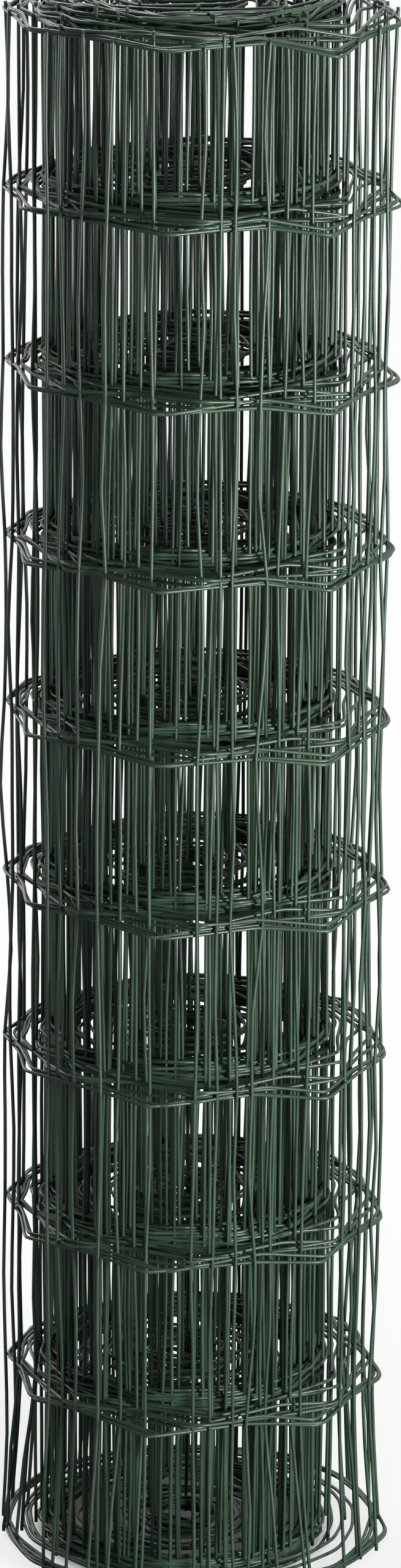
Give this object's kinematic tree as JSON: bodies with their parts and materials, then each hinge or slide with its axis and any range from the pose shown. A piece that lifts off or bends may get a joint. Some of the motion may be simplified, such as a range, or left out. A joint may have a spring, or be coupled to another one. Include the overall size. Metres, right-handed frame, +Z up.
{
  "type": "roll of welded wire fencing",
  "caption": "Roll of dark green plastic-coated welded wire fencing mesh, wound on itself without a core and standing on its end.",
  "frame": {"origin": "on the roll's axis, at the plane that the roll stands on", "axes": "+Z up along the roll's axis, -Y towards the viewer of the picture"},
  "size_m": [0.2279, 0.228, 0.906],
  "materials": {
    "coated_wire": "dark green plastic coat, satin"
  },
  "bodies": {
    "root": {"mesh_roll": "coated_wire"}
  },
  "joints": []
}
